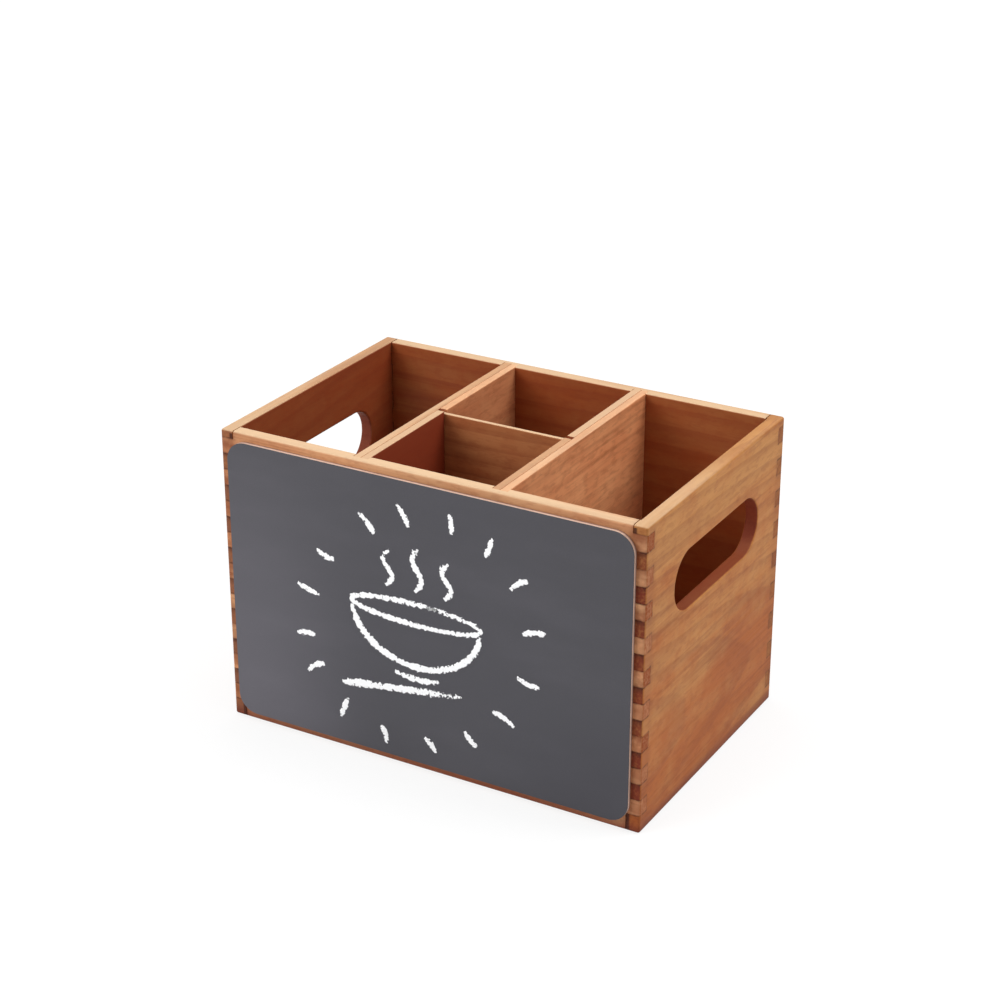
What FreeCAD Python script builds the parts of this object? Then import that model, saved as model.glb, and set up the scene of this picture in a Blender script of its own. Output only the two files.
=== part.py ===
import FreeCAD, Part
import os
import re

# A wooden table caddy: an open box with finger-jointed corners, a hand slot in each side wall,
# two partitions lined on their inner faces, a loose cross divider that drops between the liners,
# and a chalkboard on the front. X runs along the width, the front faces -Y and Z is up. The
# origin is the middle of the underside of the box. Millimetres.

SIZES = {
    # the outside of the box and its walls
    "box_width": 270.0,
    "box_depth": 176.0,
    "box_height": 184.0,
    "wall_thickness": 8.0,
    "edge_round": 1.5,
    "rim_round": 1.0,
    # the fingers of the corner joints, counted down from the rim
    "top_finger": 4.7,
    "finger_height": 9.9,
    "finger_gap": 0.1,
    "shoulder_gap": 0.6,
    # the floor board, let into the walls and flush with their undersides
    "floor_thickness": 5.0,
    "floor_housing": 4.0,
    # the partitions and the liners glued to them
    "bottle_bay": 79.0,
    "cutlery_bay": 78.6,
    "partition_thickness": 4.8,
    "liner_thickness": 4.8,
    "partition_housing": 4.0,
    "partition_round": 0.6,
    # the loose divider across the cutlery bay
    "divider_place": -1.4,
    "divider_thickness": 2.6,
    "divider_drop": 1.5,
    "divider_round": 0.5,
    "divider_face_gap": 0.3,
    "divider_end_gap": 0.3,
    "divider_seat_gap": 0.3,
    # the hand slots
    "slot_length": 108.0,
    "slot_height": 35.5,
    "slot_place": 1.5,
    "slot_level": 132.8,
    "slot_round": 1.2,
    # the chalkboard on the front
    "board_side_margin": 6.0,
    "board_foot_margin": 5.7,
    "board_top_margin": 4.7,
    "board_corner": 12.0,
    "board_core": 2.5,
    "board_face": 0.5,
}

SAME_PLACE = 0.01  # two places closer than this are one place

doc = FreeCAD.newDocument("table_caddy")
sheet = doc.addObject("Spreadsheet::Sheet", "sizes")
for row, (alias, value) in enumerate(SIZES.items(), start=1):
    sheet.set(f"A{row}", alias)
    sheet.set(f"B{row}", str(value))
    sheet.setAlias(f"B{row}", alias)
doc.recompute()

nodes = []


def bound(text):
    """Turns a sum of sizes into an expression on the sheet's cells."""
    return re.sub(r"[a-z]+(?:_[a-z]+)+", lambda word: "sizes." + word.group(), text)


def size(text):
    """The present value of a sum of sizes, in millimetres."""
    return float(sheet.evalExpression(text))


def set_limits(made, x, y, z):
    """Stretches a box between three pairs of limits, each limit a sum of sizes."""
    for side, axis, (low, high) in (("Length", "x", x), ("Width", "y", y), ("Height", "z", z)):
        made.setExpression(side, bound(f"({high}) - ({low})"))
        made.setExpression("Placement.Base." + axis, bound(low))
    return made


def box(name, x, y, z):
    return set_limits(doc.addObject("Part::Box", name), x, y, z)


def joined(name, pieces):
    made = doc.addObject("Part::MultiFuse", name)
    made.Shapes = pieces
    made.Refine = True
    return made


def paired(kind, name, base, tool):
    """A Part::Cut or Part::Common of two pieces."""
    made = doc.addObject("Part::" + kind, name)
    made.Base = base
    made.Tool = tool
    made.Refine = True
    return made


def node(made, label):
    """Names a finished piece, which gives its file that name."""
    made.Label = label
    nodes.append(made)
    return made


def flat_at(edge, axis, place):
    """True where an edge lies in the plane that stands at this place on the axis."""
    limits = edge.BoundBox
    low = getattr(limits, axis + "Min")
    high = getattr(limits, axis + "Max")
    return abs(low - place) < SAME_PLACE and abs(high - place) < SAME_PLACE


def soften(body, name, radius, chosen):
    """Rounds the edges of a body that the test picks out, by the radius that the size names."""
    doc.recompute()
    base = body.Tip
    edges = [f"Edge{place}" for place, edge in enumerate(base.Shape.Edges, start=1) if chosen(edge)]
    made = body.newObject("PartDesign::Fillet", name)
    made.Base = (base, edges)
    made.setExpression("Radius", bound(radius))
    body.Tip = made


def board(label, x, y, z):
    """A plain board as a body of its own."""
    body = doc.addObject("PartDesign::Body", label + "_body")
    set_limits(body.newObject("PartDesign::AdditiveBox", label + "_blank"), x, y, z)
    return node(body, label)


# Places that several pieces share, as sums of sizes.
RIGHT = "box_width / 2"
BACK = "box_depth / 2"
INNER_RIGHT = "box_width / 2 - wall_thickness"
INNER_BACK = "box_depth / 2 - wall_thickness"
LEFT_PARTITION = "wall_thickness - box_width / 2 + bottle_bay"
LEFT_SEAM = LEFT_PARTITION + " + partition_thickness"
LEFT_LINER_FACE = LEFT_SEAM + " + liner_thickness"
RIGHT_LINER_FACE = LEFT_LINER_FACE + " + cutlery_bay"
RIGHT_SEAM = RIGHT_LINER_FACE + " + liner_thickness"
RIGHT_PARTITION = RIGHT_SEAM + " + partition_thickness"
PARTITION_END = INNER_BACK + " + partition_housing"
GROOVE_FRONT = "divider_place - divider_thickness / 2 - divider_face_gap"
GROOVE_BACK = "divider_place + divider_thickness / 2 + divider_face_gap"


def both(limit):
    """The pair of limits that lie as far on either side of the middle."""
    return (f"-({limit})", limit)


FINGER_COUNT = int((size("box_height - top_finger") - size("finger_height")) // size("2 * finger_height")) + 1


def joint_line(fingers):
    """The height of the joint line that lies this many fingers below the top one."""
    return f"box_height - top_finger - {fingers} * finger_height"


def sanded_box():
    """The four walls as one ring, with the edges that sanding and routing leave round."""
    ring = doc.addObject("PartDesign::Body", "sanded_box")
    whole_height = ("0", "box_height")
    set_limits(ring.newObject("PartDesign::AdditiveBox", "outside"), both(RIGHT), both(BACK), whole_height)
    inside = ring.newObject("PartDesign::SubtractiveBox", "inside")
    set_limits(inside, both(INNER_RIGHT), both(INNER_BACK), both("2 * box_height"))

    slot_end = "slot_length / 2 - slot_height / 2"
    slot_middle = ring.newObject("PartDesign::SubtractiveBox", "slot_middle")
    across = (f"slot_place - ({slot_end})", f"slot_place + {slot_end}")
    upright = ("slot_level - slot_height / 2", "slot_level + slot_height / 2")
    set_limits(slot_middle, both("box_width"), across, upright)
    for name, place in (("slot_front_end", across[0]), ("slot_back_end", across[1])):
        end = ring.newObject("PartDesign::SubtractiveCylinder", name)
        end.Placement = FreeCAD.Placement(FreeCAD.Vector(), FreeCAD.Rotation(FreeCAD.Vector(0, 1, 0), 90))
        end.setExpression("Radius", bound("slot_height / 2"))
        end.setExpression("Height", bound("2 * box_width"))
        end.setExpression("Placement.Base.x", bound("-box_width"))
        end.setExpression("Placement.Base.y", bound(place))
        end.setExpression("Placement.Base.z", bound("slot_level"))

    outer_planes = [("X", size(limit)) for limit in both(RIGHT)]
    outer_planes += [("Y", size(limit)) for limit in both(BACK)]
    outer_planes += [("Z", size(limit)) for limit in whole_height]
    inner_planes = [("X", size(limit)) for limit in both(INNER_RIGHT)]
    inner_planes += [("Y", size(limit)) for limit in both(INNER_BACK)]
    rim = size("box_height")
    slot_foot = size(upright[0]) - SAME_PLACE
    slot_top = size(upright[1]) + SAME_PLACE

    def is_outer(edge):
        return sum(flat_at(edge, axis, place) for axis, place in outer_planes) == 2

    def is_inner_rim(edge):
        on_wall = any(flat_at(edge, axis, place) for axis, place in inner_planes)
        return on_wall and flat_at(edge, "Z", rim)

    def is_slot_lip(edge):
        limits = edge.BoundBox
        in_slot = limits.ZMin > slot_foot and limits.ZMax < slot_top
        side_planes = [pair for pair in outer_planes + inner_planes if pair[0] == "X"]
        return in_slot and any(flat_at(edge, axis, place) for axis, place in side_planes)

    soften(ring, "outer_edges", "edge_round", is_outer)
    soften(ring, "inner_rim", "rim_round", is_inner_rim)
    soften(ring, "slot_lips", "slot_round", is_slot_lip)
    return ring


def long_wall(label, ring, y, housings):
    """The front or back wall: a slab between the side walls, with a finger at each end of each bar."""
    slab_x = both(INNER_RIGHT + " - shoulder_gap")
    bars = [box(label + "_slab", slab_x, y, ("0", "box_height"))]
    for count in range(FINGER_COUNT):
        low = joint_line(2 * count + 1) + " + finger_gap"
        high = joint_line(2 * count) + " - finger_gap"
        bars.append(box(f"{label}_finger_{count}", both(RIGHT), y, (low, high)))
    shaped = paired("Common", label + "_shaped", ring, joined(label + "_blank", bars))
    return node(paired("Cut", label + "_housed", shaped, housings), label)


def side_wall(label, ring, x, housings):
    """The left or right wall: its fingers fill the rows between those of the long walls."""
    bars = [box(label + "_slab", x, both(INNER_BACK), ("0", "box_height"))]
    rows = [("0", joint_line(2 * FINGER_COUNT - 1)), (joint_line(0), "box_height")]
    rows += [(joint_line(2 * count + 2), joint_line(2 * count + 1)) for count in range(FINGER_COUNT - 1)]
    for count, row in enumerate(rows):
        bars.append(box(f"{label}_finger_{count}", x, both(BACK), row))
    shaped = paired("Common", label + "_shaped", ring, joined(label + "_blank", bars))
    return node(paired("Cut", label + "_housed", shaped, housings), label)


def walls():
    """The four walls, cut for the floor board and for the ends of the partitions."""
    ring = sanded_box()
    floor_x = both(INNER_RIGHT + " + floor_housing")
    floor_y = both(INNER_BACK + " + floor_housing")
    floor_room = box("floor_room", floor_x, floor_y, ("0", "floor_thickness"))
    upright = ("floor_thickness", "box_height")
    left_room = box("left_room", (LEFT_PARTITION, LEFT_LINER_FACE), both(PARTITION_END), upright)
    right_room = box("right_room", (RIGHT_LINER_FACE, RIGHT_PARTITION), both(PARTITION_END), upright)
    housings = joined("housings", [floor_room, left_room, right_room])
    long_wall("front_wall", ring, (f"-({BACK})", f"-({INNER_BACK})"), housings)
    long_wall("back_wall", ring, (INNER_BACK, BACK), housings)
    side_wall("left_wall", ring, (f"-({RIGHT})", f"-({INNER_RIGHT})"), floor_room)
    side_wall("right_wall", ring, (INNER_RIGHT, RIGHT), floor_room)
    board("floor", floor_x, floor_y, ("0", "floor_thickness"))


def partitions():
    """The two partitions, each with a front and a back liner, their tops level with the rim."""
    upright = ("floor_thickness", "box_height")
    whole = both(PARTITION_END)
    front_half = (whole[0], GROOVE_FRONT)
    back_half = (GROOVE_BACK, whole[1])
    rim = size("box_height")
    boards = (
        ("left_partition", (LEFT_PARTITION, LEFT_SEAM), whole),
        ("left_liner_front", (LEFT_SEAM, LEFT_LINER_FACE), front_half),
        ("left_liner_back", (LEFT_SEAM, LEFT_LINER_FACE), back_half),
        ("right_partition", (RIGHT_SEAM, RIGHT_PARTITION), whole),
        ("right_liner_front", (RIGHT_LINER_FACE, RIGHT_SEAM), front_half),
        ("right_liner_back", (RIGHT_LINER_FACE, RIGHT_SEAM), back_half),
    )
    for label, x, y in boards:
        body = board(label, x, y, upright)
        sides = [size(limit) for limit in x]

        def is_long_top(edge):
            return flat_at(edge, "Z", rim) and any(flat_at(edge, "X", place) for place in sides)

        soften(body, label + "_top", "partition_round", is_long_top)


def cross_divider():
    """The loose divider, which lifts out of the two grooves between the liners."""
    x = (LEFT_SEAM + " + divider_end_gap", RIGHT_SEAM + " - divider_end_gap")
    y = (GROOVE_FRONT + " + divider_face_gap", GROOVE_BACK + " - divider_face_gap")
    z = ("floor_thickness + divider_seat_gap", "box_height - divider_drop")
    body = board("cross_divider", x, y, z)
    top = size(z[1])
    faces = [size(limit) for limit in y]

    def is_long_top(edge):
        return flat_at(edge, "Z", top) and any(flat_at(edge, "Y", place) for place in faces)

    soften(body, "cross_divider_top", "divider_round", is_long_top)


def chalkboard():
    """The writing board on the front: a pale core with a dark face, cut to one outline."""
    x = both(RIGHT + " - board_side_margin")
    z = ("board_foot_margin", "box_height - board_top_margin")
    core_front = f"-({BACK}) - board_core"
    layers = (
        ("chalkboard_core", (core_front, f"-({BACK})")),
        ("chalkboard_face", (core_front + " - board_face", core_front)),
    )
    sides = [size(limit) for limit in x]
    ends = [size(limit) for limit in z]

    def is_corner(edge):
        on_side = any(flat_at(edge, "X", place) for place in sides)
        return on_side and any(flat_at(edge, "Z", place) for place in ends)

    for label, y in layers:
        soften(board(label, x, y, z), label + "_corners", "board_corner", is_corner)


def check():
    """Stops before anything is written if a feature failed or a piece isn't one sound solid."""
    doc.recompute()
    for made in doc.Objects:
        if "Invalid" in made.State or "Error" in made.State:
            raise RuntimeError(f"{made.Label} failed: {made.State}")
    for made in nodes:
        if made.Shape.isNull() or not made.Shape.isValid():
            raise RuntimeError(f"{made.Label} has no valid shape")
        if len(made.Shape.Solids) != 1:
            raise RuntimeError(f"{made.Label} is {len(made.Shape.Solids)} solids")


walls()
partitions()
cross_divider()
chalkboard()
check()

os.makedirs("parts", exist_ok=True)
for made in nodes:
    made.Shape.exportStep(f"parts/{made.Label}.step")
    print(f"{made.Label}: {made.Shape.Volume / 1000:.1f} cm3")
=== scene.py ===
import math
import random
from collections import namedtuple

import bmesh
import bpy
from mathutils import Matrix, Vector


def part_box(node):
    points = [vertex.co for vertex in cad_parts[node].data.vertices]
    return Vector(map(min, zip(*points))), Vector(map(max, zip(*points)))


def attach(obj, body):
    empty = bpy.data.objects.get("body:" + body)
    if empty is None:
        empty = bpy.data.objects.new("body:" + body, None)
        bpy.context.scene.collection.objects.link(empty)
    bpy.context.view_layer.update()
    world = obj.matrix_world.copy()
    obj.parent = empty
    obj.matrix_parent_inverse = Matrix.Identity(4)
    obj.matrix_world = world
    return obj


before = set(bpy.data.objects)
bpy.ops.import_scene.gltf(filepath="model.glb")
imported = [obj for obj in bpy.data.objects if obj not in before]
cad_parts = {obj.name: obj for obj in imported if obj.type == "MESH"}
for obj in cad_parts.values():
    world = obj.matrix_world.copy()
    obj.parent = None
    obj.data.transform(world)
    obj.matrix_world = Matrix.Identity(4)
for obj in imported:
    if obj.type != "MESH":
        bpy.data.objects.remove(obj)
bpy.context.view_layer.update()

# The looks of a wooden table caddy with a chalkboard front. Metres, in the frame of the solids:
# X along the width, the front faces -Y, Z up.

MM = 0.001

CAMERA_PLACE = (0.595, -1.042, 0.673)
CAMERA_AZIMUTH = 29.85  # degrees round from the front
CAMERA_TILT = 24.13  # degrees down from level
CAMERA_LENS = 81.8
CAMERA_FILM = 36.0

# The finger joints, as the boards are cut: counted down from the rim.
FINGER = 9.9 * MM
TOP_FINGER = 4.7 * MM
WHOLE_FINGERS = 17
SEAM = 0.42 * MM  # half the width of the dark glue line round each finger
SEAM_DARK = SEAM * 0.3  # up to here from the middle of the line it is at its darkest
SEAM_GONE = SEAM * 2.2
SLOT_HALF = 54 * MM  # half the length of the hand slots

WALL_LOW, WALL_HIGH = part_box("right_wall")
RIM = WALL_HIGH[2]
HALF_WIDTH = WALL_HIGH[0]
HALF_DEPTH = WALL_HIGH[1]
WALL = WALL_HIGH[0] - WALL_LOW[0]
BOTTOM_FINGER = RIM - TOP_FINGER - WHOLE_FINGERS * FINGER
BOARD_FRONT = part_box("chalkboard_face")[0][1]


# ---------------------------------------------------------------- materials

class Wire:
    """An output of a node, on which arithmetic adds Math nodes."""

    def __init__(self, finish, socket):
        self.finish = finish
        self.socket = socket

    def math(self, operation, *others):
        return self.finish.math(operation, self, *others)

    def __add__(self, other):
        return self.math("ADD", other)

    def __sub__(self, other):
        return self.math("SUBTRACT", other)

    def __mul__(self, other):
        return self.math("MULTIPLY", other)

    def __truediv__(self, other):
        return self.math("DIVIDE", other)

    def __rsub__(self, other):
        return self.finish.math("SUBTRACT", other, self)

    __radd__ = __add__
    __rmul__ = __mul__

    def __abs__(self):
        return self.math("ABSOLUTE")

    def __gt__(self, other):
        return self.math("GREATER_THAN", other)

    def __lt__(self, other):
        return self.math("LESS_THAN", other)


class Finish:
    """A material's nodes, and the few ways in which they are added."""

    def __init__(self, name):
        self.material = bpy.data.materials.new(name)
        self.material.use_nodes = True
        self.tree = self.material.node_tree
        self.tree.nodes.clear()
        self.place = self.node("TexCoord", output="Object")
        self.x, self.y, self.z = self.split(self.place)

    def node(self, kind, settings=None, inputs=None, output=None):
        """Adds a shader node, settings first and then its sockets. Returns the named output, or the node."""
        made = self.tree.nodes.new("ShaderNode" + kind)
        for name, value in (settings or {}).items():
            setattr(made, name, value)
        sockets = {socket.identifier: socket for socket in made.inputs}
        for name, value in (inputs or {}).items():
            self.feed(sockets[name], value)
        if output is None:
            return made
        found = {socket.identifier: socket for socket in made.outputs}
        return Wire(self, found[output])

    def feed(self, socket, value):
        if isinstance(value, Wire):
            self.tree.links.new(value.socket, socket)
        else:
            socket.default_value = value

    def math(self, operation, *values):
        names = ("Value", "Value_001")
        return self.node("Math", {"operation": operation}, dict(zip(names, values)), "Value")

    def vector_math(self, operation, first, second):
        inputs = {"Vector": first, "Vector_001": second}
        return self.node("VectorMath", {"operation": operation}, inputs, "Vector")

    def split(self, vector):
        made = self.node("SeparateXYZ", inputs={"Vector": vector})
        return [Wire(self, socket) for socket in made.outputs]

    def join(self, x, y, z):
        return self.node("CombineXYZ", inputs={"X": x, "Y": y, "Z": z}, output="Vector")

    def noise(self, place, scale=1.0, detail=2.0, roughness=0.5):
        inputs = {"Vector": place, "Scale": scale, "Detail": detail, "Roughness": roughness}
        return self.node("TexNoise", inputs=inputs, output="Fac")

    def blend(self, amount, first, second):
        """The second colour over the first by an amount from 0 to 1."""
        settings = {"data_type": "RGBA", "clamp_factor": True}
        inputs = {"Factor_Float": amount, "A_Color": first, "B_Color": second}
        return self.node("Mix", settings, inputs, "Result_Color")

    def between(self, value, low, high):
        """0 below low, 1 above high, and a smooth step between."""
        inputs = {"Value": value, "From Min": low, "From Max": high}
        return self.node("MapRange", {"interpolation_type": "SMOOTHSTEP"}, inputs, "Result")

    def normal_parts(self):
        return self.split(self.node("NewGeometry", output="Normal"))

    def bump(self, height, distance, strength):
        inputs = {"Height": height, "Distance": distance, "Strength": strength}
        return self.node("Bump", inputs=inputs, output="Normal")

    def surface(self, **inputs):
        """Ends the material in one Principled shader."""
        named = {name.replace("_", " "): value for name, value in inputs.items()}
        shader = self.node("BsdfPrincipled", inputs=named, output="BSDF")
        self.node("OutputMaterial", inputs={"Surface": shader})
        return self.material


def colour(red, green, blue):
    """A screen colour, 0 to 255, as the light values that shaders take."""
    def light(value):
        value /= 255
        return value / 12.92 if value <= 0.04045 else ((value + 0.055) / 1.055) ** 2.4
    return (light(red), light(green), light(blue), 1.0)


class FingerJoint:
    """Where the fingers lie on a wall that runs along X or Y, and how one differs from the next."""

    OTHER_END = 50  # more than the fingers of one end, so that no two fingers have one number

    def __init__(self, finish, runs_along):
        if runs_along == "X":
            end_side = finish.x
            self.inward = abs(finish.x) - (HALF_WIDTH - WALL)
        else:
            end_side = finish.y
            self.inward = abs(finish.y) - (HALF_DEPTH - WALL)
        rows = (RIM - TOP_FINGER - finish.z) / FINGER
        self.down_finger = rows.math("FRACT")
        finger = rows.math("FLOOR") + (end_side > 0) * self.OTHER_END
        self.own = finish.node("TexWhiteNoise", {"noise_dimensions": "1D"}, {"W": finger}, "Value")
        in_joint = self.inward > -SEAM
        row_edge = abs(rows - rows.math("ROUND")) * FINGER
        level_line = 1 - finish.between(row_edge, SEAM_DARK, SEAM_GONE)
        odd_row = (rows * 0.5).math("FRACT") > 0.5
        other_row = odd_row if runs_along == "X" else 1 - odd_row
        upright_line = (1 - finish.between(abs(self.inward), SEAM_DARK, SEAM_GONE)) * other_row
        self.seams = (level_line * in_joint).math("MAXIMUM", upright_line)


RING_SPACING = 9 * MM
RING_WANDER = 11 * MM
LATE_LINE = 0.92  # where in each year's growth its dark line lies


class Timber:
    """The figure of a board cut from a log, in the board's own directions.

    along: the axis that the grain follows, X or Y.
    seed: picks the board's place in the pattern.
    heart: where the middle of the log lies, across the grain and up.
    tilt: how far that middle drifts across for each metre along the grain.
    """

    def __init__(self, finish, along, seed, heart, tilt):
        self.finish = finish
        dice = random.Random(seed)
        shift = [dice.uniform(-3, 3) for _ in range(3)]
        if along == "X":
            self.length, self.across = finish.x, finish.y
        else:
            self.length, self.across = finish.y, finish.x
        self.height = finish.z
        self.heart = heart
        self.tilt = tilt
        self.long_place = finish.join(
            self.length + shift[0], self.across + shift[1], self.height + shift[2])
        self.rings = self.year_rings()
        self.streaks = finish.noise(self.stretched(3.2, 62.0), detail=3.0, roughness=0.55)
        self.fibres = finish.noise(self.stretched(14.0, 620.0), detail=3.0, roughness=0.6)
        self.pores = finish.between(finish.noise(self.stretched(95.0, 1500.0), detail=1.0), 0.62, 0.72)
        self.mottle = finish.noise(finish.place, scale=45.0, detail=4.0, roughness=0.65)

    def stretched(self, along_scale, cross_scale):
        """A place for a noise with so many cells to the metre, along the grain and across it."""
        scale = (along_scale, cross_scale, cross_scale)
        return self.finish.vector_math("MULTIPLY", self.long_place, scale)

    def year_rings(self):
        """0 in the pale early wood, rising to 1 at each dark late line."""
        f = self.finish
        broad = f.noise(self.stretched(5.0, 16.0), detail=1.5) - 0.5
        fine = f.noise(self.stretched(12.0, 60.0), detail=2.0) - 0.5
        off_across = self.across - self.heart[0] - self.length * self.tilt
        off_height = self.height - self.heart[1]
        radius = (off_across * off_across + off_height * off_height).math("SQRT")
        radius = radius + broad * RING_WANDER + fine * (RING_WANDER * 0.12)
        turn = (radius / RING_SPACING).math("FRACT")
        rise = f.between(turn, 0.4, LATE_LINE)
        fall = 1 - f.between(turn, LATE_LINE, 1.0)
        return rise * fall

    def clouds(self):
        """Broad paler and redder patches."""
        return self.finish.noise(self.stretched(7.0, 17.0), detail=2.0)

    def grain_lines(self):
        """Thin darker lines along the grain, in loose groups."""
        lines = self.finish.noise(self.stretched(4.0, 260.0), detail=2.0)
        groups = self.finish.noise(self.stretched(6.0, 30.0), detail=1.0)
        return self.finish.between(lines, 0.52, 0.64) * self.finish.between(groups, 0.4, 0.62)

    def flecks(self):
        """Small darker flecks, longer along the grain than across it."""
        specks = self.finish.noise(self.stretched(120.0, 330.0), detail=2.5, roughness=0.6)
        return self.finish.between(specks, 0.48, 0.66)


# Each kind of board has a colour for its paler patches and one for its redder patches.
SIDE_WOOD = (colour(192, 133, 73), colour(172, 95, 38))
FRONT_WOOD = (colour(222, 172, 126), colour(208, 144, 100))
# painted light: a paler copy of the inside wood, for inside faces that are lit
LIT_INSIDE_WOOD = (colour(240, 170, 118), colour(222, 144, 96))
INSIDE_WOOD = (colour(196, 132, 82), colour(174, 98, 54))
LATE_WOOD = colour(120, 52, 22)
PORE = colour(84, 38, 24)
# painted highlight on the top edges
RIM_HIGHLIGHT = colour(220, 190, 154)
# painted shade on the faces that look into the box
INSIDE_SHADE = colour(140, 56, 32)
SAWN_END = colour(112, 44, 25)
FADED_END = colour(128, 80, 58)
TONGUE_END = colour(142, 70, 28)
BACK_TONGUE_END = colour(118, 60, 34)
CUT_EDGE = colour(120, 50, 30)
# painted shade, towards the foot of the walls and on the board's edge by the wall
PAINTED_SHADE = colour(108, 46, 32)
# dark glue lines round the fingers, and painted shade over the top of each sawn cell
GLUE_AND_SHADE = colour(66, 28, 16)

# How much of each layer shows over the plain wood.
RING_SHARE = 0.3
STREAK_SHARE = 0.28
FIBRE_SHARE = 0.12
LINE_SHARE = 0.12
LINE_FIGURE = 0.2  # how much more the grain lines show on a board with a strong figure
FLECK_SHARE = 0.2
PORE_SHARE = 0.14
CUT_EDGE_SHARE = 0.85
SHOULDER_SHARE = 0.9
FOOT_SHADE_SHARE = 0.8
JOINT_STAIN_SHARE = {"X": 0.55, "Y": 0.08}  # on the long walls, and on the side walls

# How far the stains, the painted highlight on the rim and the painted shade reach.
JOINT_STAIN = (-5 * MM, 0.5 * MM)  # from the shoulder of the fingers
RIM_BAND = (4 * MM, 2 * MM)  # below the rim: where its painted highlight starts, and where it is full
RIM_SHADOW_REACH = (-60 * MM, 30 * MM)  # along Y: where a painted shadow starts to darken the rim's painted highlight, and where it is full
# painted shade towards the foot: how high it reaches
FOOT_SHADE_HEIGHT = 9 * MM
SLOT_ROUND = 6 * MM  # past the end of a slot
SLOT_CLEAR = 12 * MM  # no slot comes nearer to the rim or the foot
SHOULDER_LINE = (1.2 * MM, 2.4 * MM)
SHOULDER_DROP = 1.5 * MM
INSIDE_SLACK = 1 * MM
GRAIN_DEPTH = 0.1 * MM


def inside_share(f, normals):
    """1 on the faces that look into the box, which get painted shade, and 0 outside."""
    in_width = abs(f.x) < HALF_WIDTH - WALL + INSIDE_SLACK
    in_depth = abs(f.y) < HALF_DEPTH - WALL + INSIDE_SLACK
    upright = 1 - f.between(abs(normals[2]), 0.4, 0.8)
    return in_width * in_depth * upright


def plain_grain(f, timber, tints, lift, figure):
    """A board's own colour and figure, with painted light that makes it paler towards the top, before any
    stain, painted shade or painted highlight.
    """
    # painted light: paler towards the top by the board's lift
    risen = (f.z / RIM - 0.5) * lift
    patches = timber.clouds() * 0.42 + timber.streaks * 0.3 + timber.mottle * 0.28 + risen
    base = f.blend(f.between(patches, 0.38, 0.62), tints[1], tints[0])
    base = f.blend(timber.rings * RING_SHARE * figure, base, LATE_WOOD)
    base = f.blend(f.between(timber.streaks, 0.5, 0.7) * STREAK_SHARE * figure, base, LATE_WOOD)
    base = f.blend(f.between(timber.fibres, 0.45, 0.75) * FIBRE_SHARE, base, LATE_WOOD)
    base = f.blend(timber.grain_lines() * (LINE_SHARE + LINE_FIGURE * figure), base, LATE_WOOD)
    base = f.blend(timber.flecks() * FLECK_SHARE, base, LATE_WOOD)
    return f.blend(timber.pores * PORE_SHARE, base, PORE)


def side_wall_marks(f, base, fingers, sawn, end_grain, in_middle, facing_side):
    """What only the side walls show: painted shade above each sawn cell, the slot's cut edge, the shoulders.
    """
    # painted shade, darkest at the top of each sawn end-grain cell
    shaded = (1 - f.between(fingers.down_finger, 0.0, 0.45)) * (0.35 + sawn * 0.4)
    base = f.blend(end_grain * in_middle * shaded, base, GLUE_AND_SHADE)
    cut_face = 1 - f.between(abs(facing_side), 0.35, 0.75)
    by_slot = (abs(f.y) < SLOT_HALF + SLOT_ROUND) * (f.z < RIM - SLOT_CLEAR) * (f.z > SLOT_CLEAR)
    base = f.blend(cut_face * by_slot * CUT_EDGE_SHARE, base, CUT_EDGE)
    shoulder_line = 1 - f.between(abs(f.x) - (HALF_WIDTH - WALL), *SHOULDER_LINE)
    by_shoulder = shoulder_line * (1 - in_middle) * (f.z < RIM - SHOULDER_DROP)
    return f.blend(by_shoulder * end_grain * SHOULDER_SHARE, base, GLUE_AND_SHADE)


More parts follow.
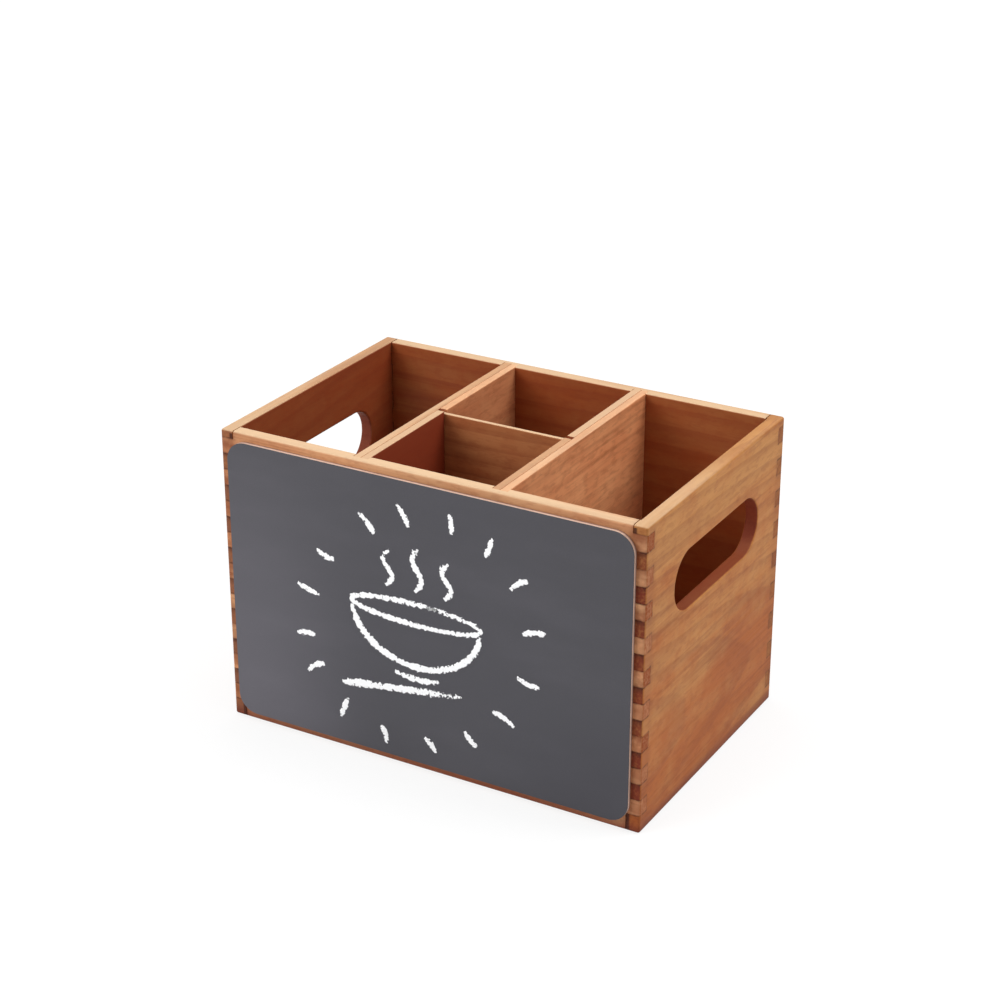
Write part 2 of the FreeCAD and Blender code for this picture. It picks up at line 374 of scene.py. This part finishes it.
def wood(name, along, seed, heart, tilt=0.0, tints=SIDE_WOOD, lift=0.0, inner=0.6, joint=None,
         end=(SAWN_END, 1.1), top_end=0.45, rim=0.8, rim_fade=0.0, figure=1.0):
    """Oiled wood for one board.

    along, seed, heart, tilt: how the board was cut from its log.
    tints: the colours of its paler and its redder patches.
    lift: how much paler the board is at its top than at its foot.
    inner: how far painted shade darkens the faces that look into the box.
    joint: the axis that a finger-jointed wall runs along.
    lift: how much painted light makes the board paler at its top than at its foot.
    top_end: how much of that the half fingers at the top and the foot show.
    rim: how pale the painted highlight makes the top edge. rim_fade: how much of that a painted shadow takes
    away towards the back.
    figure: how strongly the rings and streaks show.
    """
    f = Finish(name)
    timber = Timber(f, along, seed, heart, tilt)
    normals = f.normal_parts()
    base = plain_grain(f, timber, tints, lift, figure)
    # painted shade on the faces that look into the box, by the board's inner share
    base = f.blend(inside_share(f, normals) * inner, base, INSIDE_SHADE)

    end_grain = f.between(abs(normals["XYZ".index(along)]), 0.55, 0.85)
    in_middle = (f.z > BOTTOM_FINGER) * (f.z < RIM - TOP_FINGER)
    end_patches = 0.75 + f.between(timber.fibres, 0.35, 0.6) * 0.25
    if joint:
        fingers = FingerJoint(f, joint)
        end_patches = end_patches * (0.7 + fingers.own * 0.3)
        by_joint = f.between(fingers.inward, *JOINT_STAIN) * (1 - end_grain)
        stain = by_joint * (JOINT_STAIN_SHARE[joint] + fingers.own * 0.3)
        base = f.blend(stain * f.between(timber.mottle, 0.3, 0.6), base, LATE_WOOD)
    end_shown = top_end + in_middle * (1 - top_end)
    base = f.blend(end_grain * end[1] * end_patches * end_shown, base, end[0])

    # painted highlight on the top edges, which a painted shadow takes away towards the back where rim_fade is
    # set
    rim_top = f.between(normals[2], 0.35, 0.9) * f.between(f.z, RIM - RIM_BAND[0], RIM - RIM_BAND[1])
    rim_streaks = 1 - f.between(timber.streaks, 0.44, 0.62) * 0.45
    rim_unshaded = 1 - f.between(f.y, *RIM_SHADOW_REACH) * rim_fade
    base = f.blend(rim_top * rim_streaks * rim_unshaded * rim, base, RIM_HIGHLIGHT)
    if joint:
        sawn = f.between(f.noise(f.place, scale=260.0, detail=2.0), 0.38, 0.6)
        base = f.blend(fingers.seams * (0.14 + sawn * 0.46), base, GLUE_AND_SHADE)
        # painted shade towards the foot of the wall
        foot = 1 - f.between(f.z, 0.0, FOOT_SHADE_HEIGHT)
        base = f.blend(foot * FOOT_SHADE_SHARE, base, PAINTED_SHADE)
    if joint == "Y":
        base = side_wall_marks(f, base, fingers, sawn, end_grain, in_middle, normals[0])

    relief = timber.fibres * 0.5 + timber.rings * 0.3 - timber.pores * 0.4
    return f.surface(
        Base_Color=base,
        Roughness=0.5 + timber.fibres * 0.16 + end_grain * 0.12,
        Specular_IOR_Level=0.2,
        Normal=f.bump(relief, GRAIN_DEPTH, 0.5),
    )


SLATE = colour(78, 77, 82)
# wiped chalk dust, and painted sheen towards the lower left
SLATE_DUST_AND_SHEEN = colour(152, 148, 158)
# painted shade towards the lower right
SLATE_SHADE = colour(68, 67, 73)
SHEEN_LEFT = (20 * MM, 125 * MM)  # left of the middle: where the painted sheen starts, and where it is brightest
SHADE_RIGHT = (30 * MM, 120 * MM)  # to the right of the middle: where the painted shade starts, and where it is full
SHADE_LOW = (-90 * MM, -20 * MM)  # minus the height: the painted shade is darkest near the foot
SLATE_GRAIN = 0.03 * MM


def slate():
    """Matt chalkboard paint with a breath of wiped chalk, painted sheen towards the lower left and painted
    shade towards the lower right.
    """
    f = Finish("chalkboard_paint")
    smear = f.noise(f.vector_math("MULTIPLY", f.place, (9.0, 9.0, 26.0)), detail=3.0, roughness=0.6)
    grit = f.noise(f.place, scale=1800.0, detail=1.0)
    # painted sheen, paler towards the lower left, blended in with the dust
    lit_left = f.between(-1 * f.x, *SHEEN_LEFT) * (1 - f.z / RIM * 0.9)
    dust_and_sheen = f.between(smear, 0.4, 0.8) * 0.05 + f.between(grit, 0.55, 0.75) * 0.03 + lit_left * 0.24
    base = f.blend(dust_and_sheen, SLATE, SLATE_DUST_AND_SHEEN)
    # painted shade, darker towards the lower right
    low_right_shade = f.between(f.x, *SHADE_RIGHT) * f.between(-1 * f.z, *SHADE_LOW)
    base = f.blend(low_right_shade * 0.6, base, SLATE_SHADE)
    return f.surface(
        Base_Color=base,
        Roughness=0.6 + smear * 0.12,
        Specular_IOR_Level=0.2,
        Normal=f.bump(grit, SLATE_GRAIN, 0.5),
    )


FIBREBOARD = (colour(220, 190, 172), colour(188, 152, 130), colour(170, 132, 110))  # pale, darker, stained
BOARD_SHADE = (1.4 * MM, 2.6 * MM)  # behind the paint: where a painted shadow starts on the edge, and where it is full, towards the wall
FIBRE_DEPTH = 0.05 * MM


def pale_fibreboard():
    """The cut edge of the pressed board behind the paint, with a painted shadow towards the wall."""
    f = Finish("pale_fibreboard")
    fibre = f.noise(f.vector_math("MULTIPLY", f.place, (700.0, 2600.0, 700.0)), detail=2.0)
    stain = f.noise(f.place, scale=35.0, detail=2.0)
    base = f.blend(f.between(fibre, 0.35, 0.7) * 0.5, FIBREBOARD[0], FIBREBOARD[1])
    base = f.blend(f.between(stain, 0.45, 0.75) * 0.35, base, FIBREBOARD[2])
    # painted shadow on the edge, where it meets the wall
    base = f.blend(f.between(f.y - BOARD_FRONT, *BOARD_SHADE) * 0.7, base, PAINTED_SHADE)
    return f.surface(Base_Color=base, Roughness=0.75, Normal=f.bump(fibre, FIBRE_DEPTH, 0.5))


CHALK = (colour(248, 248, 250), colour(255, 255, 255))
CHALK_GRAIN = 0.08 * MM


def chalk():
    """Chalk that covers a stroke's middle and breaks up over the paint's grit at its edges."""
    f = Finish("chalk")
    across = f.node("Attribute", {"attribute_name": "across"}, output="Fac")
    pressure = f.node("Attribute", {"attribute_name": "pressure"}, output="Fac")
    grit = f.noise(f.place, scale=950.0, detail=2.5, roughness=0.6)
    drag = f.noise(f.place, scale=420.0, detail=2.0)
    cover = pressure - across * across * 4.2
    alpha = f.between(cover + (grit - 0.5) * 3.0 + (drag - 0.5) * 2.6, 0.0, 0.14)
    base = f.blend(grit, *CHALK)
    return f.surface(Base_Color=base, Roughness=0.9, Alpha=alpha, Normal=f.bump(grit, CHALK_GRAIN, 0.6))


# ---------------------------------------------------------------- the chalk drawing

STROKE_WIDTH = 4.7 * MM
STROKE_DEPTH = 0.06 * MM
STROKE_STEP = 0.6 * MM
UNEVEN_WIDTH = (0.84, 1.14)
END_WIDTH = 0.62
END_PRESSURE = 0.7

# A path on the board, in millimetres from the middle and up from the underside, its share of the
# full width, and how hard the chalk is pressed at its start, its middle and its end.
Stroke = namedtuple("Stroke", "path width pressures")

RAY_CENTRE = (-4.3, 89.0)
RAY_REACH = (79.5, 67.5)
RAY_TILT = 38.0  # degrees that the ring's long way is turned up from level
RAY_LENGTH = 13.5
RAY_LENGTHS = (0.8, 1.15)  # the shortest and the longest mark, as shares of that
RAY_WIDTH = 0.8
RAY_PRESSURE = (0.5, 1.0)  # the lightest and the hardest that a mark ends
RAY_COUNT = 16
RAY_START = 9.0  # degrees
RAY_DRIFT = 3.0  # degrees that a mark may stand out of its even place
RAY_LEAN = 14.0  # the marks above and below lean over, those at the sides point outward
RAY_LEAN_DRIFT = 8.0
RAY_BOW = 1.4
RAY_POINTS = 6


def rays(dice):
    """Short marks in a ring, as a quick hand draws rays round a sun."""
    tilt = math.radians(RAY_TILT)
    strokes = []
    for count in range(RAY_COUNT):
        turn = math.radians(RAY_START + 360 / RAY_COUNT * count + dice.uniform(-RAY_DRIFT, RAY_DRIFT))
        along = RAY_REACH[0] * math.cos(turn - tilt)
        across = RAY_REACH[1] * math.sin(turn - tilt)
        middle = (
            RAY_CENTRE[0] + along * math.cos(tilt) - across * math.sin(tilt),
            RAY_CENTRE[1] + along * math.sin(tilt) + across * math.cos(tilt),
        )
        drift = dice.uniform(-RAY_LEAN_DRIFT, RAY_LEAN_DRIFT)
        lean = turn + math.radians(RAY_LEAN * (1 - math.cos(2 * turn)) + drift)
        half = RAY_LENGTH / 2 * dice.uniform(*RAY_LENGTHS)
        bow = dice.uniform(-RAY_BOW, RAY_BOW)
        path = []
        for point in range(RAY_POINTS):
            step = 2 * point / (RAY_POINTS - 1) - 1
            side = bow * (1 - step * step)
            path.append((
                middle[0] + math.cos(lean) * half * step - math.sin(lean) * side,
                middle[1] + math.sin(lean) * half * step + math.cos(lean) * side,
            ))
        strokes.append(Stroke(path, RAY_WIDTH, (1.0, 1.0, dice.uniform(*RAY_PRESSURE))))
    return strokes


def arc(centre, radii, start, stop, steps):
    """Points on an ellipse between two angles in degrees."""
    turns = [math.radians(start + (stop - start) * step / (steps - 1)) for step in range(steps)]
    return [(centre[0] + radii[0] * math.cos(turn), centre[1] + radii[1] * math.sin(turn)) for turn in turns]


BOWL_CENTRE = (-5.0, 100.0)  # of its rim
BOWL_RIM = (42.0, 6.5)
BOWL_BELLY = (42.0, 33.0)
BOWL_FOOT = [(-19.0, 61.0), (-10.0, 59.5), (1.0, 59.5), (10.0, 61.5)]
UNDERLINE_START = (-55.0, 45.0)
UNDERLINE_RUN = (80.0, 11.0)
UNDERLINE_STEPS = 11
CURLS = ((-24.0, 22.0), (-5.0, 27.0), (14.0, 22.0))  # where each curl of steam stands, and how far it rises
CURL_FOOT = 114.0
CURL_SWAY = 3.6
CURL_LEAN = 3
CURL_WIDTH = 0.84
CURL_STEPS = 8


def steaming_bowl():
    """A bowl with a rim, a foot and three curls of steam, over one long underline."""
    underline = [
        (UNDERLINE_START[0] + UNDERLINE_RUN[0] * step / UNDERLINE_STEPS,
         UNDERLINE_START[1] + UNDERLINE_RUN[1] * step / UNDERLINE_STEPS)
        for step in range(UNDERLINE_STEPS + 1)
    ]
    strokes = [
        Stroke(arc(BOWL_CENTRE, BOWL_RIM, 70, 440, 30), 0.75, (0.8, 1.0, 0.5)),
        Stroke(arc(BOWL_CENTRE, BOWL_BELLY, 186, 354, 22), 0.95, (1.0, 1.0, 0.9)),
        Stroke(BOWL_FOOT, 0.85, (1.0, 1.0, 0.6)),
        Stroke(underline, 1.1, (1.0, 1.0, 0.0)),
    ]
    for place, rise in CURLS:
        curl = []
        for step in range(CURL_STEPS + 1):
            share = step / CURL_STEPS
            sway = CURL_SWAY * math.sin(share * 2 * math.pi)
            curl.append((place + sway + share * CURL_LEAN, CURL_FOOT + share * rise))
        strokes.append(Stroke(curl, CURL_WIDTH, (1.0, 1.0, 0.45)))
    return strokes


def stroke_paths(strokes, dice):
    """The strokes as a mesh of edges, which carries each point's width and pressure."""
    points, edges, widths, pressures = [], [], [], []
    for path, width, (at_start, at_middle, at_finish) in strokes:
        first = len(points)
        last = len(path) - 1
        for count, (x, z) in enumerate(path):
            share = count / last
            if share < 0.5:
                press = at_start + (at_middle - at_start) * share * 2
            else:
                press = at_middle + (at_finish - at_middle) * (share * 2 - 1)
            at_end = count in (0, last)
            points.append((x * MM, BOARD_FRONT, z * MM))
            widths.append(width * (END_WIDTH if at_end else dice.uniform(*UNEVEN_WIDTH)))
            pressures.append(press * (END_PRESSURE if at_end else 1.0))
        edges += [(first + count, first + count + 1) for count in range(last)]
    mesh = bpy.data.meshes.new("chalk_paths")
    mesh.from_pydata(points, edges, [])
    for name, values in (("width", widths), ("pressure", pressures)):
        mesh.attributes.new(name, "FLOAT", "POINT").data.foreach_set("value", values)
    return mesh


class Growth:
    """A Geometry Nodes tree with named inputs."""

    def __init__(self, name, kinds):
        self.tree = bpy.data.node_groups.new(name, "GeometryNodeTree")
        interface = self.tree.interface
        interface.new_socket("Geometry", in_out="OUTPUT", socket_type="NodeSocketGeometry")
        self.names = {}
        for label, kind in kinds.items():
            socket = interface.new_socket(label, in_out="INPUT", socket_type="NodeSocket" + kind)
            self.names[label] = socket.identifier
        self.given = self.tree.nodes.new("NodeGroupInput").outputs

    def node(self, kind, settings=None, inputs=None, output=0):
        made = self.tree.nodes.new(kind)
        for name, value in (settings or {}).items():
            setattr(made, name, value)
        for name, value in (inputs or {}).items():
            socket = made.inputs[name]
            if isinstance(value, bpy.types.NodeSocket):
                self.tree.links.new(value, socket)
            else:
                socket.default_value = value
        return made.outputs[output]

    def end(self, geometry):
        last = self.tree.nodes.new("NodeGroupOutput")
        self.tree.links.new(geometry, last.inputs[0])


EDGE_GRAIN = 640.0  # bumps to the metre along a stroke's edge
EDGE_WIDTHS = (0.68, 1.24)  # the narrowest and the widest that they leave the stroke
POINTS_ACROSS = 7
WELD = 1e-6


def chalk_growth():
    """Rubs each path into a thin flat stroke with an uneven width."""
    g = Growth("chalk_stroke", {
        "Paths": "Geometry", "Step": "Float", "Width": "Float", "Depth": "Float", "Chalk": "Material"})
    curves = g.node("GeometryNodeMeshToCurve", inputs={"Mesh": g.given["Paths"]})
    smooth = g.node("GeometryNodeCurveSplineType", {"spline_type": "CATMULL_ROM"}, {"Curve": curves})
    even = g.node(
        "GeometryNodeResampleCurve", {"mode": "LENGTH"}, {"Curve": smooth, "Length": g.given["Step"]})
    width = g.node("GeometryNodeInputNamedAttribute", {"data_type": "FLOAT"}, {"Name": "width"})
    bumps = g.node("ShaderNodeTexNoise", inputs={"Scale": EDGE_GRAIN, "Detail": 3.0})
    uneven = g.node("ShaderNodeMapRange", inputs={
        "Value": bumps, "From Min": 0.3, "From Max": 0.7, "To Min": EDGE_WIDTHS[0], "To Max": EDGE_WIDTHS[1]})
    own_width = g.node("ShaderNodeMath", {"operation": "MULTIPLY"}, {0: width, 1: uneven})
    scale = g.node("ShaderNodeMath", {"operation": "MULTIPLY"}, {0: own_width, 1: g.given["Width"]})
    faced = g.node("GeometryNodeSetCurveNormal", {"mode": "FREE"}, {"Curve": even, "Normal": (0, -1, 0)})

    line = g.node("GeometryNodeCurvePrimitiveLine", inputs={"Start": (0, -0.5, 0), "End": (0, 0.5, 0)})
    fine_line = g.node(
        "GeometryNodeResampleCurve", {"mode": "COUNT"}, {"Curve": line, "Count": POINTS_ACROSS})
    place = g.node("GeometryNodeInputPosition")
    across = g.node("ShaderNodeSeparateXYZ", inputs={"Vector": place}, output="Y")
    marked = g.node(
        "GeometryNodeStoreNamedAttribute", {"data_type": "FLOAT", "domain": "POINT"},
        {"Geometry": fine_line, "Name": "across", "Value": across})

    back = g.node(
        "GeometryNodeCurveToMesh", inputs={"Curve": faced, "Profile Curve": marked, "Scale": scale})
    raised = g.node(
        "GeometryNodeExtrudeMesh", {"mode": "FACES"},
        {"Mesh": back, "Offset": (0, -1, 0), "Offset Scale": g.given["Depth"], "Individual": False})
    whole = g.tree.nodes.new("GeometryNodeJoinGeometry")
    g.tree.links.new(back, whole.inputs[0])
    g.tree.links.new(raised, whole.inputs[0])
    welded = g.node("GeometryNodeMergeByDistance", inputs={"Geometry": whole.outputs[0], "Distance": WELD})
    real = g.node("GeometryNodeRealizeInstances", inputs={"Geometry": welded})
    g.end(g.node("GeometryNodeSetMaterial", inputs={"Geometry": real, "Material": g.given["Chalk"]}))
    return g


def grown(name, mesh, growth, **values):
    """Runs a tree on a mesh and keeps the result as a plain mesh of its own."""
    source = bpy.data.objects.new(name + "_paths", mesh)
    bpy.context.scene.collection.objects.link(source)
    modifier = source.modifiers.new("growth", "NODES")
    modifier.node_group = growth.tree
    for key, value in values.items():
        modifier[growth.names[key]] = value
    bpy.context.view_layer.update()
    depsgraph = bpy.context.evaluated_depsgraph_get()
    evaluated = source.evaluated_get(depsgraph)
    result = bpy.data.meshes.new_from_object(evaluated, preserve_all_data_layers=True, depsgraph=depsgraph)
    bpy.data.objects.remove(source)
    result.materials.pop(index=0)  # an empty slot, before the one that the tree sets
    shell = bmesh.new()
    shell.from_mesh(result)
    bmesh.ops.recalc_face_normals(shell, faces=shell.faces)
    for face in shell.faces:
        face.material_index = 0
    shell.to_mesh(result)
    shell.free()
    made = bpy.data.objects.new(name, result)
    bpy.context.scene.collection.objects.link(made)
    return made


CHALK_SEED = 5


def chalk_drawing():
    """The rays and the bowl, on the face of the board."""
    dice = random.Random(CHALK_SEED)
    finish = chalk()
    growth = chalk_growth()
    for name, strokes in (("chalk_rays", rays(dice)), ("chalk_bowl", steaming_bowl())):
        piece = grown(
            name, stroke_paths(strokes, dice), growth,
            Step=STROKE_STEP, Width=STROKE_WIDTH, Depth=STROKE_DEPTH, Chalk=finish)
        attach(piece, "box")


# ---------------------------------------------------------------- the boards

def dress(node, material):
    """Puts a finish on a solid's own slots."""
    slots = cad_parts[node].data.materials
    for count in range(len(slots)):
        slots[count] = material
    if not slots:
        slots.append(material)


def board(node, along, **cut):
    """Dresses one board in its own cut of wood."""
    dress(node, wood(node + "_wood", along, **cut))


def boards():
    """Each board has its own grain direction, place in the log and colours."""
    board("front_wall", "X", seed=11, heart=(0.05, 0.1), tints=FRONT_WOOD, joint="X", end=(TONGUE_END, 1.05))
    board("back_wall", "X", seed=12, heart=(0.2, 0.02), joint="X", end=(BACK_TONGUE_END, 0.75))
    board(
        "left_wall", "Y", seed=13, heart=(-0.2, 0.1), tilt=0.1, joint="Y",
        inner=0.75, end=(FADED_END, 1.1), top_end=0.95, rim=0.7)
    # painted light on this wall: paler towards the top, and a painted shadow over the back of its rim
    board(
        "right_wall", "Y", seed=14, heart=(0.2, 0.05), tilt=0.12, joint="Y",
        lift=0.12, rim=0.7, rim_fade=0.8, figure=0.75)
    board("floor", "X", seed=15, heart=(0.0, -0.12), tints=INSIDE_WOOD, inner=0.7)
    board("cross_divider", "X", seed=16, heart=(0.05, 0.3), tints=INSIDE_WOOD, inner=0.25)
    # The inner shares are painted shade, set board by board to how shaded each inside face is, and the paler
    # tint on two of them is painted light where their faces are lit.
    insides = (
        ("left_partition", 21, INSIDE_WOOD, 0.7),
        ("left_liner_front", 22, INSIDE_WOOD, 0.95),
        ("left_liner_back", 23, LIT_INSIDE_WOOD, 0.3),
        ("right_partition", 24, LIT_INSIDE_WOOD, 0.0),
        ("right_liner_front", 25, INSIDE_WOOD, 0.5),
        ("right_liner_back", 26, INSIDE_WOOD, 0.4),
    )
    for node, seed, tints, inner in insides:
        board(
            node, "Y", seed=seed, heart=(0.1, 0.05), tilt=0.05, tints=tints,
            inner=inner, rim=0.7, figure=0.4)
    dress("chalkboard_face", slate())
    dress("chalkboard_core", pale_fibreboard())


# ---------------------------------------------------------------- the room

def camera():
    data = bpy.data.cameras.new("camera")
    data.lens = CAMERA_LENS
    data.sensor_width = CAMERA_FILM
    eye = bpy.data.objects.new("camera", data)
    eye.location = CAMERA_PLACE
    eye.rotation_euler = (math.radians(90 - CAMERA_TILT), 0, math.radians(CAMERA_AZIMUTH))
    bpy.context.scene.collection.objects.link(eye)
    bpy.context.scene.camera = eye


LAMP_AIM = (0, 0, 0.1)
LAMPS = (  # name, place, side and power
    ("overhead", (0.0, 0.1, 1.3), 0.9, 7),
    ("right_back", (1.05, 0.45, 1.25), 0.8, 10),
    ("front_left", (-0.8, -1.2, 0.9), 0.9, 13),
)
WORLD_LIGHT = 0.42
FLOOR_REACH = 6.0
FLOOR_DROP = 0.2 * MM
FLOOR_COLOUR = (0.9, 0.9, 0.9, 1)
FLOOR_GLOW = 1.06
NEAR_GLOW = 0.76  # the share of glow near the box, where the floor keeps a faint shadow
SHADOW_REACH = (0.3, 0.95)  # from the middle: where the glow starts to grow, and where it is whole


def lamp(name, place, side, power):
    """A square softbox that faces the box."""
    data = bpy.data.lights.new(name, "AREA")
    data.shape = "SQUARE"
    data.size = side
    data.energy = power
    made = bpy.data.objects.new(name, data)
    made.location = place
    made.rotation_euler = (Vector(LAMP_AIM) - Vector(place)).to_track_quat("-Z", "Y").to_euler()
    bpy.context.scene.collection.objects.link(made)


def white_floor():
    """White as the camera, gloss and glass see it, but for a share that is lit and shaded near the box."""
    f = Finish("white_floor")
    away = (f.x * f.x + f.y * f.y).math("SQRT")
    glowing = NEAR_GLOW + f.between(away, *SHADOW_REACH) * (1 - NEAR_GLOW)
    seen_as = f.node("LightPath")
    outputs = {socket.name: Wire(f, socket) for socket in seen_as.outputs}
    seen = outputs["Is Camera Ray"].math("MAXIMUM", outputs["Is Glossy Ray"])
    seen = seen.math("MAXIMUM", outputs["Is Transmission Ray"])
    glow = f.node("Emission", inputs={"Color": (1, 1, 1, 1), "Strength": FLOOR_GLOW}, output="Emission")
    matt = f.node("BsdfDiffuse", inputs={"Color": FLOOR_COLOUR}, output="BSDF")
    shaders = {"Fac": seen * glowing, "Shader": matt, "Shader_001": glow}
    f.node("OutputMaterial", inputs={"Surface": f.node("MixShader", inputs=shaders, output="Shader")})
    return f.material


def room():
    """A white floor that keeps a faint shadow, and an even white world."""
    mesh = bpy.data.meshes.new("floor_sheet")
    reach = FLOOR_REACH
    corners = [(-reach, -reach, 0), (reach, -reach, 0), (reach, reach, 0), (-reach, reach, 0)]
    mesh.from_pydata(corners, [], [(0, 1, 2, 3)])
    mesh.materials.append(white_floor())
    sheet = bpy.data.objects.new("studio_floor", mesh)
    sheet.location.z = -FLOOR_DROP
    bpy.context.scene.collection.objects.link(sheet)

    world = bpy.data.worlds.new("white_world")
    world.use_nodes = True
    bpy.context.scene.world = world
    nodes = world.node_tree.nodes
    links = world.node_tree.links
    sky = nodes["Background"]
    seen_as = nodes.new("ShaderNodeLightPath")
    level = nodes.new("ShaderNodeMix")
    level.inputs["A"].default_value = WORLD_LIGHT
    level.inputs["B"].default_value = 1.0
    links.new(seen_as.outputs["Is Camera Ray"], level.inputs["Factor"])
    links.new(level.outputs["Result"], sky.inputs["Strength"])
    sky.inputs["Color"].default_value = (1, 1, 1, 1)

    for name, place, side, power in LAMPS:
        lamp(name, place, side, power)


bpy.context.scene.view_settings.view_transform = "Standard"
camera()
room()
boards()
chalk_drawing()
